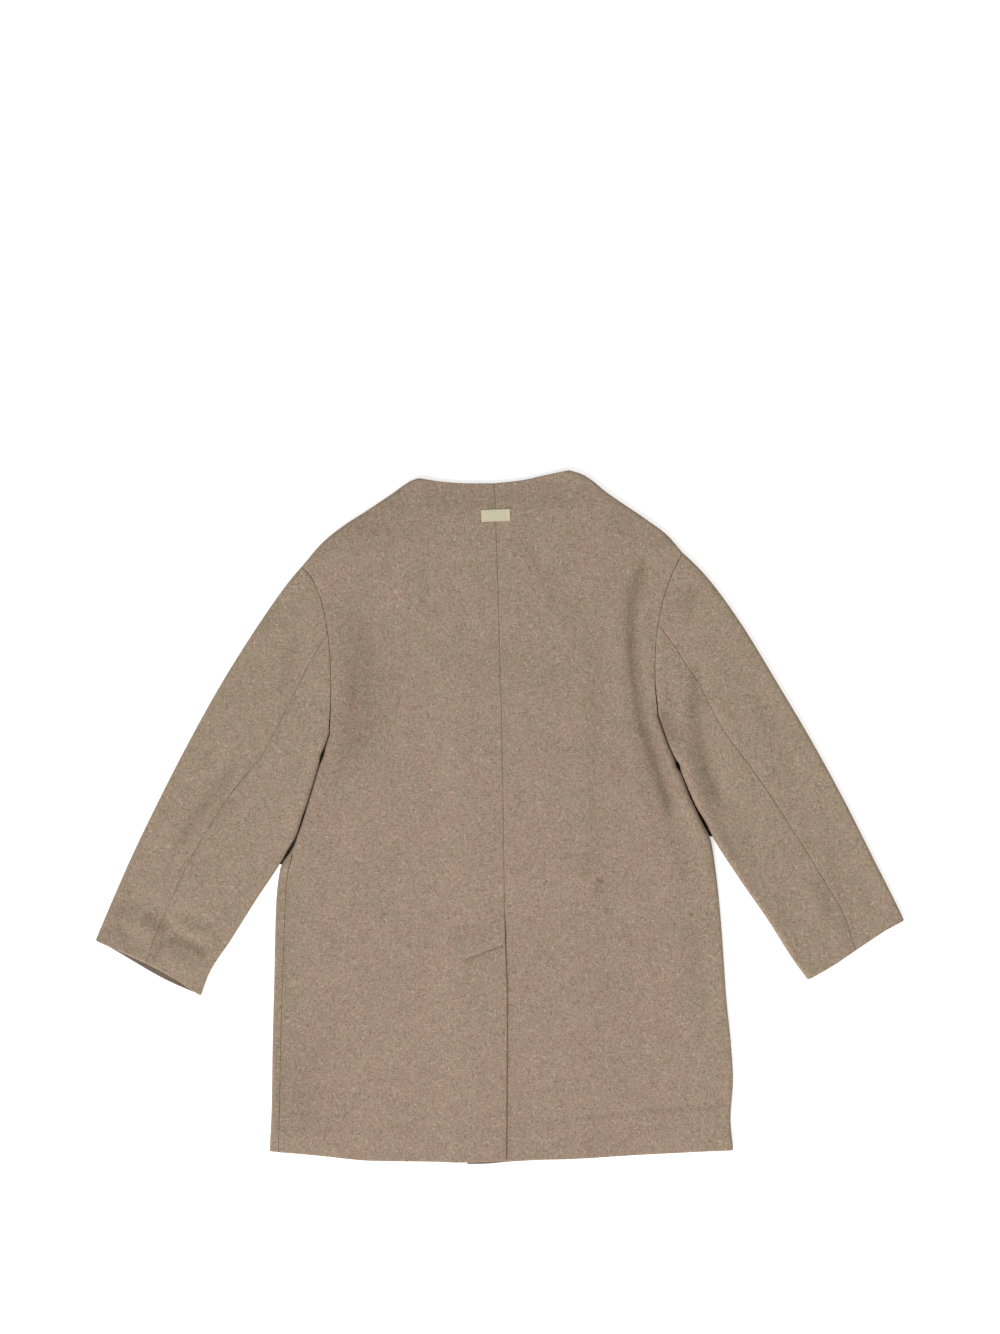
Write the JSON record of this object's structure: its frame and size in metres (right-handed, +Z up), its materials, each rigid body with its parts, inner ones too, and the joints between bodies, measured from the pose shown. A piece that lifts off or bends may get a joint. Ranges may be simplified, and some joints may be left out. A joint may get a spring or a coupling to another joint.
{
  "type": "collarless double-breasted coat laid flat on its front",
  "caption": "Collarless wool coat laid flat on its front, back up, with a centre-back seam, an open hem vent, two-piece sleeves and lapped fronts beneath.",
  "frame": {"origin": "middle of the coat's footprint, on the surface that it lies on", "axes": "+X across the coat towards the wearer's right sleeve, +Y up the back to the neck, +Z up from the surface, out of the back"},
  "size_m": [1.0364, 0.8896, 0.0143],
  "materials": {
    "wool": "brushed melange wool melton, matt with a short nap",
    "label_tape": "plain woven cream tape, satin",
    "button_horn": "dull polished brown horn-coloured resin"
  },
  "bodies": {
    "root": {"back_left": "wool", "back_right": "wool", "front_left": "wool", "front_right": "wool", "sleeve_left_upper": "wool", "sleeve_left_under": "wool", "sleeve_right_upper": "wool", "sleeve_right_under": "wool", "label": "label_tape", "button_upper_outer": "button_horn", "button_upper_inner": "button_horn", "button_lower_outer": "button_horn", "button_lower_inner": "button_horn"}
  },
  "joints": []
}
